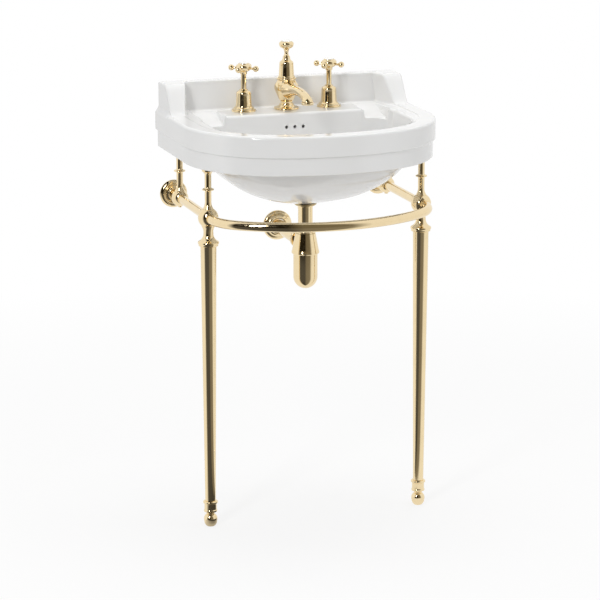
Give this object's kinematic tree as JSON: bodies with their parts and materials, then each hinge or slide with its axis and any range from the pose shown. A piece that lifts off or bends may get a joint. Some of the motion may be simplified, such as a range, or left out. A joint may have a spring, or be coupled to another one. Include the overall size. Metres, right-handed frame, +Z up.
{
  "type": "console sink with legs",
  "caption": "Console sink: white china basin with raised upstand on a turned brass wash-stand, with cross-handle mixer, lift-knob plug and bottle trap.",
  "frame": {"origin": "on the floor, at the centre of the bounding box: midway across the width and midway between the wall plane and the front of the bow rail", "axes": "+Z up, -Y towards the user (front), +Y towards the wall, +X to the user's right when facing the wall"},
  "size_m": [0.57, 0.4599, 1.0433],
  "materials": {
    "china": "gloss glaze",
    "index_china": "gloss glaze",
    "plain_metal": "machined",
    "polished_brass": "polished, pale gold",
    "rubber": "matte",
    "trap_plastic": "moulded"
  },
  "bodies": {
    "lever": {"ball_lever": "polished_brass"},
    "stand": {"basin": "china", "bow_rail": "polished_brass", "cold_back_nut": "plain_metal", "cold_bell": "polished_brass", "cold_crossover": "polished_brass", "cold_valve": "polished_brass", "cold_washer": "rubber", "dip_tube": "trap_plastic", "foot_left": "polished_brass", "foot_right": "polished_brass", "front_hub_left": "polished_brass", "front_hub_right": "polished_brass", "front_post_left": "polished_brass", "front_post_right": "polished_brass", "hot_back_nut": "plain_metal", "hot_bell": "polished_brass", "hot_crossover": "polished_brass", "hot_valve": "polished_brass", "hot_washer": "rubber", "leg_left": "polished_brass", "leg_right": "polished_brass", "outlet_nut": "polished_brass", "outlet_pipe": "polished_brass", "port_nut": "polished_brass", "rear_hub_left": "polished_brass", "rear_hub_right": "polished_brass", "rear_post_left": "polished_brass", "rear_post_right": "polished_brass", "side_rail_left": "polished_brass", "side_rail_right": "polished_brass", "spout_back_nut": "plain_metal", "spout_body": "polished_brass", "spout_bonnet": "polished_brass", "spout_nozzle": "polished_brass", "spout_washer": "rubber", "tailpiece": "polished_brass", "trap_body": "polished_brass", "trap_cup": "polished_brass", "trap_inlet_nut": "polished_brass", "wall_escutcheon": "polished_brass", "wall_flange_left": "polished_brass", "wall_flange_right": "polished_brass", "waste_back_nut": "plain_metal", "waste_flange": "polished_brass", "waste_seal": "rubber"},
    "cold_handle_set": {"cold_handle": "polished_brass", "cold_index": "index_china", "cold_spindle": "polished_brass"},
    "hot_handle_set": {"hot_handle": "polished_brass", "hot_index": "index_china", "hot_spindle": "polished_brass"},
    "lift_set": {"knob_index": "index_china", "lever_strap": "polished_brass", "lift_knob": "polished_brass", "lift_rod": "polished_brass"},
    "plug": {"waste_plug": "polished_brass"}
  },
  "joints": [
    {"name": "hot_turn", "type": "hinge", "parent": "stand", "child": "hot_handle_set", "pos_m": [-0.1, 0.16, 0.94], "axis": [0, 0, 1], "range_deg": [0, 90]},
    {"name": "cold_turn", "type": "hinge", "parent": "stand", "child": "cold_handle_set", "pos_m": [0.1, 0.16, 0.94], "axis": [0, 0, 1], "range_deg": [-90, 0]},
    {"name": "knob_lift", "type": "slide", "parent": "stand", "child": "lift_set", "axis": [0, 0, 1], "range_m": [0, 0.03]},
    {"name": "lever_rock", "type": "hinge", "parent": "stand", "child": "lever", "pos_m": [0, 0.045, 0.684], "axis": [1, 0, 0], "range_deg": [0, 16]},
    {"name": "plug_drop", "type": "slide", "parent": "stand", "child": "plug", "axis": [0, 0, -1], "range_m": [0, 0.0053]}
  ],
  "couplings": [
    {"joint": "lever_rock", "follows": "knob_lift", "rad_per_m": 8.7},
    {"joint": "plug_drop", "follows": "knob_lift", "ratio": 0.174}
  ]
}
